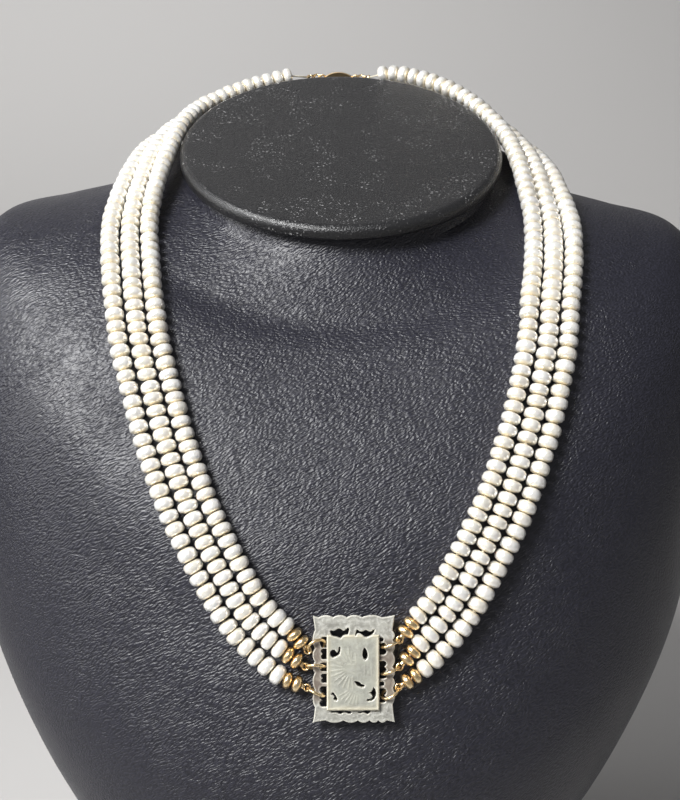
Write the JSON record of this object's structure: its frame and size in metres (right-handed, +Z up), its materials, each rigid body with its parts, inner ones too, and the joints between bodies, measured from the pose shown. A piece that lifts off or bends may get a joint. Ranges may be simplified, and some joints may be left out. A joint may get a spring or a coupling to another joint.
{
  "type": "multi strand necklace on a neck bust",
  "caption": "Necklace of three knotted strands of white button pearls with gold beads and a pierced carved stone centre plaque, lying on a plain black leatherette neck bust.",
  "frame": {"origin": "middle of the bounding box on the plane that the bust stands on", "axes": "+X to the viewer's right, -Y towards the viewer, +Z up"},
  "size_m": [0.249, 0.1801, 0.2791],
  "materials": {
    "leatherette": "fine pebbled grain, low sheen",
    "carved_stone": "waxy polish, slightly translucent",
    "pearl": "pearly lustre",
    "gold": "polished",
    "silk_thread": "matt twisted silk"
  },
  "bodies": {
    "root": {"bust": "leatherette", "neck_cap": "leatherette", "plaque": "carved_stone", "clasp": "gold", "inner_pearls_left": "pearl", "inner_pearls_right": "pearl", "middle_pearls_left": "pearl", "middle_pearls_right": "pearl", "outer_pearls_left": "pearl", "outer_pearls_right": "pearl", "inner_thread_left": "silk_thread", "inner_thread_right": "silk_thread", "middle_thread_left": "silk_thread", "middle_thread_right": "silk_thread", "gold_bead_inner_left_1": "gold", "gold_bead_inner_left_2": "gold", "gold_bead_inner_right_1": "gold", "gold_bead_inner_right_2": "gold", "gold_bead_middle_left_1": "gold", "gold_bead_middle_left_2": "gold", "gold_bead_middle_right_1": "gold", "gold_bead_middle_right_2": "gold", "gold_bead_outer_left_1": "gold", "gold_bead_outer_left_2": "gold", "gold_bead_outer_right_1": "gold", "gold_bead_outer_right_2": "gold", "end_loop_inner_left": "gold", "end_loop_inner_right": "gold", "end_loop_middle_left": "gold", "end_loop_middle_right": "gold", "end_loop_outer_left": "gold", "end_loop_outer_right": "gold", "jump_ring_inner_left": "gold", "jump_ring_inner_right": "gold", "jump_ring_middle_left": "gold", "jump_ring_middle_right": "gold", "jump_ring_outer_left": "gold", "jump_ring_outer_right": "gold", "clasp_loop_inner_left": "gold", "clasp_loop_inner_right": "gold", "clasp_loop_middle_left": "gold", "clasp_loop_middle_right": "gold", "clasp_loop_outer_left": "gold", "clasp_loop_outer_right": "gold", "clasp_ring_inner_left": "gold", "clasp_ring_inner_right": "gold", "clasp_ring_middle_left": "gold", "clasp_ring_middle_right": "gold", "clasp_ring_outer_left": "gold", "clasp_ring_outer_right": "gold"}
  },
  "joints": []
}
